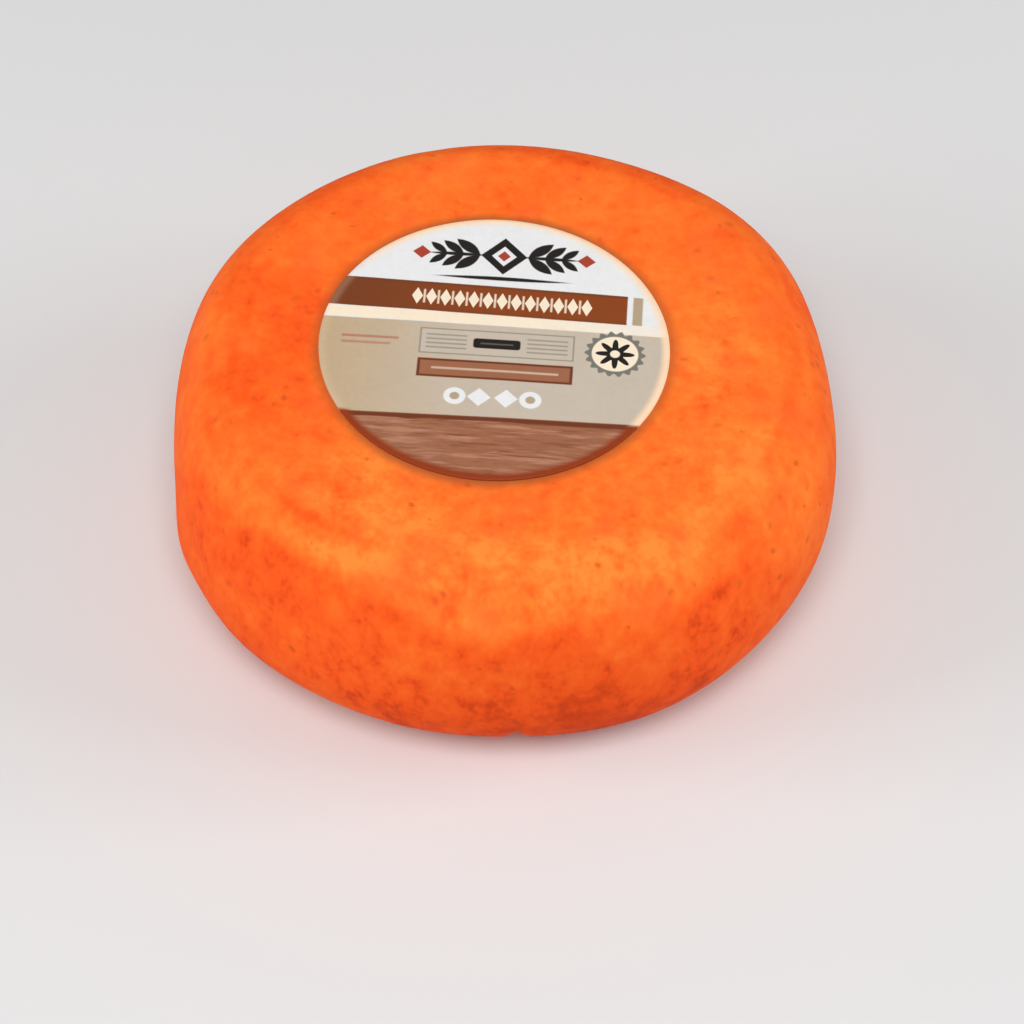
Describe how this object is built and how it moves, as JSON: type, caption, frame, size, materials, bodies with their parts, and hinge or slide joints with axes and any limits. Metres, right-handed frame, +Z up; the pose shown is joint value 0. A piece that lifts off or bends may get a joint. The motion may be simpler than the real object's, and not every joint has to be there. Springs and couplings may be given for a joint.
{
  "type": "aged sheep cheese",
  "caption": "Whole uncut wheel of aged sheep cheese with a paprika-red rind, rounded shoulders, a slightly sloping top and a round paper label on it.",
  "frame": {"origin": "centre of the bounding box's bottom face, on the surface that the wheel stands on", "axes": "+Z up along the wheel's axis, -Y towards the near side of the label as it is read, +X to the side where the top is lower"},
  "size_m": [0.1666, 0.1652, 0.0725],
  "materials": {
    "rind": "satin paprika-red rind, mottled with orange, with small pits",
    "label_paper": "printed paper, softly glossy"
  },
  "bodies": {
    "root": {"cheese_wheel": "rind", "round_label": "label_paper"}
  },
  "joints": []
}
